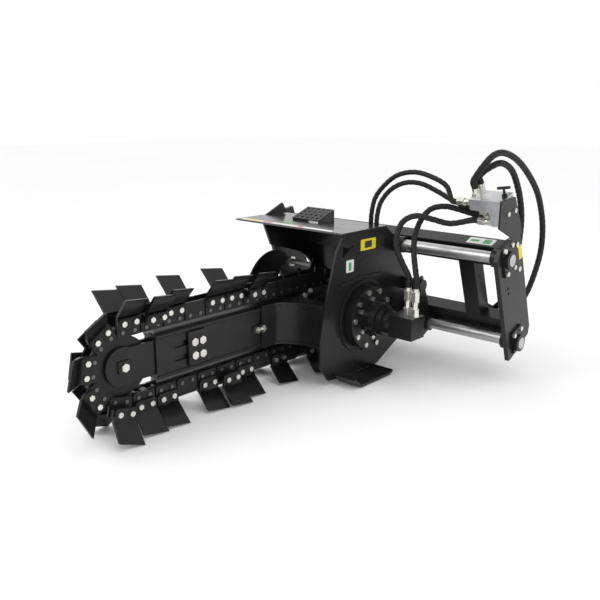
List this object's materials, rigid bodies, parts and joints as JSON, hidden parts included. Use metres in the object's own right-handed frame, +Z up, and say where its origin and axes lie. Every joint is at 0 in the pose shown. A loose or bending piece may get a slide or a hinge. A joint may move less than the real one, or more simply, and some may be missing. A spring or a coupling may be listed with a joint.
{
  "type": "trencher",
  "caption": "Side-shift chain trencher attachment: toothed digging chain round a flat boom, spoil auger, hydraulic drive and a sliding head on two shafts in a leaning frame",
  "frame": {"origin": "on the ground, at the centre of the machine's plan", "axes": "+Z up, -Y toward the nose of the boom, +X toward the drive motor"},
  "size_m": [1.368, 2.1182, 1.0027],
  "materials": {
    "black_paint": "semi-gloss black powder coat",
    "chain_paint": "semi-gloss black paint on chain bars and teeth",
    "shaft_steel": "hard chrome shaft",
    "zinc": "zinc plated fasteners and fittings",
    "valve_metal": "bare machined valve block",
    "knob_plastic": "moulded black knob",
    "bush_bronze": "bronze bush",
    "chain_steel": "dark oiled steel",
    "hose_rubber": "black hose in a spiral guard"
  },
  "bodies": {
    "frame": {"end_plate_left": "black_paint", "end_plate_right": "black_paint", "upper_beam": "black_paint", "lower_beam": "black_paint", "uprights": "black_paint", "corner_gussets": "black_paint", "upper_shaft": "shaft_steel", "lower_shaft": "shaft_steel", "shaft_collars": "black_paint", "shaft_clamps": "black_paint", "clamp_screws": "zinc", "hitch_lip": "black_paint", "latch_plate": "black_paint", "valve_bracket": "black_paint", "bracket_bolts": "zinc", "valve_block": "valve_metal", "valve_fittings": "zinc", "shift_rod": "shaft_steel", "rod_nut": "zinc", "supply_hose_long": "hose_rubber", "supply_hose_short": "hose_rubber", "coupler_long": "zinc", "coupler_short": "zinc"},
    "head": {"side_plate": "black_paint", "side_ribs": "black_paint", "carriage_plate_left": "black_paint", "carriage_plate_right": "black_paint", "deflector": "black_paint", "rear_panel": "black_paint", "upper_slide_tube": "black_paint", "lower_slide_tube": "black_paint", "slide_bushes": "bush_bronze", "cylinder_barrel": "black_paint", "lifting_fin": "black_paint", "step_tread": "black_paint", "boom_bracket": "black_paint", "skid_shoe": "black_paint", "scraper": "black_paint", "gearbox": "black_paint", "gearbox_bolts": "zinc", "motor": "black_paint", "motor_fittings": "zinc", "boom_tube": "black_paint", "guide_bars": "chain_steel", "tension_screw": "zinc", "outer_bars": "chain_paint", "inner_bars": "chain_paint", "chain_rollers": "chain_steel", "teeth": "chain_paint", "tooth_spacers": "chain_paint", "tooth_bolts": "zinc", "cylinder_hoses": "hose_rubber", "motor_hoses": "hose_rubber"},
    "boom_nose": {"nose_fork": "black_paint", "clamp_plates": "black_paint", "clamp_bolts": "zinc", "nose_axle": "zinc", "axle_keepers": "black_paint"},
    "drive": {"sprocket": "chain_steel", "drive_shaft": "chain_steel", "auger": "black_paint"},
    "nose_idler": {"nose_idler": "chain_paint"},
    "flow_knob": {"flow_knob": "knob_plastic"}
  },
  "joints": [
    {"name": "side_shift", "type": "slide", "parent": "frame", "child": "head", "axis": [1, 0, 0], "range_m": [-0.05, 0.35], "deforming": ["cylinder_hoses", "motor_hoses"]},
    {"name": "chain_tension", "type": "slide", "parent": "head", "child": "boom_nose", "axis": [0, -1, 0], "range_m": [-0.02, 0.04], "deforming": ["outer_bars", "inner_bars", "chain_rollers", "teeth", "tooth_spacers", "tooth_bolts"]},
    {"name": "drive_turn", "type": "hinge", "parent": "head", "child": "drive", "pos_m": [-0.141, 0.4376, 0.265], "axis": [1, 0, 0], "continuous": true, "deforming": ["outer_bars", "inner_bars", "chain_rollers", "teeth", "tooth_spacers", "tooth_bolts"]},
    {"name": "idler_turn", "type": "hinge", "parent": "boom_nose", "child": "nose_idler", "pos_m": [-0.141, -0.68, 0.265], "axis": [1, 0, 0], "continuous": true},
    {"name": "flow_set", "type": "hinge", "parent": "frame", "child": "flow_knob", "pos_m": [0.645, 0.64207, 0.82071], "axis": [0, -0.342, 0.9397], "range_deg": [0, 300]}
  ],
  "couplings": [
    {"joint": "idler_turn", "follows": "drive_turn", "ratio": 1}
  ]
}
